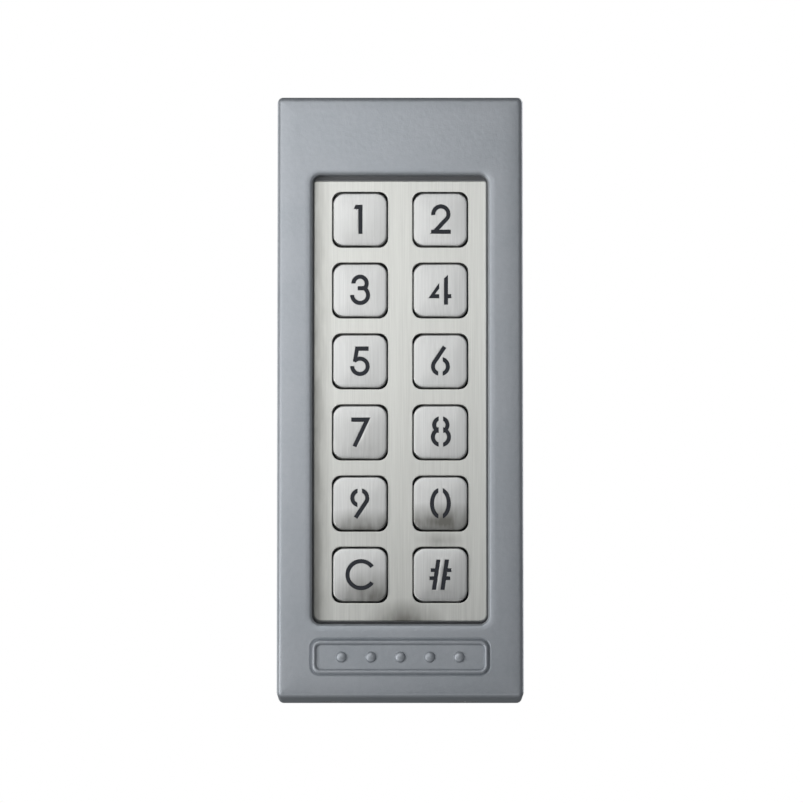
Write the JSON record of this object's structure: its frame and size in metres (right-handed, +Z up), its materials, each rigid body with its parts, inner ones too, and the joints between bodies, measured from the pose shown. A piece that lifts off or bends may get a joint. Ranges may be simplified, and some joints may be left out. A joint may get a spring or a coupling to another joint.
{
  "type": "access keypad",
  "caption": "Slim wall-mounted access keypad: grey cast housing, recessed brushed steel plate and stencil-cut steel push keys in two columns over a rubber mat and circuit board.",
  "frame": {"origin": "middle of the four wall-screw holes, on the back face that lies on the wall", "axes": "+Z up the wall, +Y into the wall, so the keys face -Y; +X to the right of a person facing the keys"},
  "size_m": [0.052, 0.0224, 0.1274],
  "materials": {
    "powder_coat": "satin silver-grey powder coat with a fine texture",
    "zinc_plate": "dull zinc-plated sheet",
    "brushed_plate": "brushed up and down, satin",
    "brushed_key": "brushed up and down, softly rounded edges",
    "lens_plastic": "smoked blue-grey, translucent when lit",
    "black_rubber": "matt",
    "silicone": "milky silicone",
    "guide_plastic": "fine moulded texture",
    "board_laminate": "satin solder resist",
    "contact_gold": "gold-flashed copper",
    "led_white": "clear resin",
    "component_black": "matt moulded",
    "relay_case": "satin moulded",
    "terminal_green": "satin moulded",
    "screw_steel": "bright",
    "capacitor_can": "satin",
    "plunger_plastic": "red, satin",
    "spring_steel": "bright",
    "carbon_rubber": "matt"
  },
  "bodies": {
    "housing": {"front_housing": "powder_coat", "back_plate": "zinc_plate", "housing_seal": "black_rubber", "keypad_plate": "brushed_plate", "plate_gasket": "black_rubber", "key_guide": "guide_plastic", "keypad_mat": "silicone", "circuit_board": "board_laminate", "contact_pads": "contact_gold", "backlight_leds": "led_white", "microcontroller": "component_black", "relays": "relay_case", "terminal_block": "terminal_green", "terminal_screws": "screw_steel", "buzzer": "component_black", "capacitors": "capacitor_can", "power_regulator": "component_black", "tamper_switch": "relay_case", "tamper_spring": "spring_steel", "cable_grommet": "black_rubber", "stack_screws": "screw_steel", "board_screws": "screw_steel", "housing_screws": "screw_steel"},
    "key_1": {"key_cap_1": "brushed_key", "key_lens_1": "lens_plastic", "contact_pill_1": "carbon_rubber"},
    "key_2": {"key_cap_2": "brushed_key", "key_lens_2": "lens_plastic", "contact_pill_2": "carbon_rubber"},
    "key_3": {"key_cap_3": "brushed_key", "key_lens_3": "lens_plastic", "contact_pill_3": "carbon_rubber"},
    "key_4": {"key_cap_4": "brushed_key", "key_lens_4": "lens_plastic", "contact_pill_4": "carbon_rubber"},
    "key_5": {"key_cap_5": "brushed_key", "key_lens_5": "lens_plastic", "contact_pill_5": "carbon_rubber"},
    "key_6": {"key_cap_6": "brushed_key", "key_lens_6": "lens_plastic", "contact_pill_6": "carbon_rubber"},
    "key_7": {"key_cap_7": "brushed_key", "key_lens_7": "lens_plastic", "contact_pill_7": "carbon_rubber"},
    "key_8": {"key_cap_8": "brushed_key", "key_lens_8": "lens_plastic", "contact_pill_8": "carbon_rubber"},
    "key_9": {"key_cap_9": "brushed_key", "key_lens_9": "lens_plastic", "contact_pill_9": "carbon_rubber"},
    "key_0": {"key_cap_0": "brushed_key", "key_lens_0": "lens_plastic", "contact_pill_0": "carbon_rubber"},
    "key_clear": {"key_cap_clear": "brushed_key", "key_lens_clear": "lens_plastic", "contact_pill_clear": "carbon_rubber"},
    "key_hash": {"key_cap_hash": "brushed_key", "key_lens_hash": "lens_plastic", "contact_pill_hash": "carbon_rubber"},
    "tamper_pin": {"tamper_plunger": "plunger_plastic"}
  },
  "joints": [
    {"name": "press_key_1", "type": "slide", "parent": "housing", "child": "key_1", "axis": [0, 1, 0], "range_m": [0, 0.0008], "stiffness_N_per_m": 1500, "springref_m": -0.0005, "deforming": ["keypad_mat"]},
    {"name": "press_key_2", "type": "slide", "parent": "housing", "child": "key_2", "axis": [0, 1, 0], "range_m": [0, 0.0008], "stiffness_N_per_m": 1500, "springref_m": -0.0005},
    {"name": "press_key_3", "type": "slide", "parent": "housing", "child": "key_3", "axis": [0, 1, 0], "range_m": [0, 0.0008], "stiffness_N_per_m": 1500, "springref_m": -0.0005},
    {"name": "press_key_4", "type": "slide", "parent": "housing", "child": "key_4", "axis": [0, 1, 0], "range_m": [0, 0.0008], "stiffness_N_per_m": 1500, "springref_m": -0.0005},
    {"name": "press_key_5", "type": "slide", "parent": "housing", "child": "key_5", "axis": [0, 1, 0], "range_m": [0, 0.0008], "stiffness_N_per_m": 1500, "springref_m": -0.0005},
    {"name": "press_key_6", "type": "slide", "parent": "housing", "child": "key_6", "axis": [0, 1, 0], "range_m": [0, 0.0008], "stiffness_N_per_m": 1500, "springref_m": -0.0005},
    {"name": "press_key_7", "type": "slide", "parent": "housing", "child": "key_7", "axis": [0, 1, 0], "range_m": [0, 0.0008], "stiffness_N_per_m": 1500, "springref_m": -0.0005},
    {"name": "press_key_8", "type": "slide", "parent": "housing", "child": "key_8", "axis": [0, 1, 0], "range_m": [0, 0.0008], "stiffness_N_per_m": 1500, "springref_m": -0.0005},
    {"name": "press_key_9", "type": "slide", "parent": "housing", "child": "key_9", "axis": [0, 1, 0], "range_m": [0, 0.0008], "stiffness_N_per_m": 1500, "springref_m": -0.0005},
    {"name": "press_key_0", "type": "slide", "parent": "housing", "child": "key_0", "axis": [0, 1, 0], "range_m": [0, 0.0008], "stiffness_N_per_m": 1500, "springref_m": -0.0005},
    {"name": "press_key_clear", "type": "slide", "parent": "housing", "child": "key_clear", "axis": [0, 1, 0], "range_m": [0, 0.0008], "stiffness_N_per_m": 1500, "springref_m": -0.0005},
    {"name": "press_key_hash", "type": "slide", "parent": "housing", "child": "key_hash", "axis": [0, 1, 0], "range_m": [0, 0.0008], "stiffness_N_per_m": 1500, "springref_m": -0.0005},
    {"name": "tamper_release", "type": "slide", "parent": "housing", "child": "tamper_pin", "axis": [0, 1, 0], "range_m": [0, 0.0015], "stiffness_N_per_m": 150, "springref_m": 0.004, "deforming": ["tamper_spring"]}
  ]
}
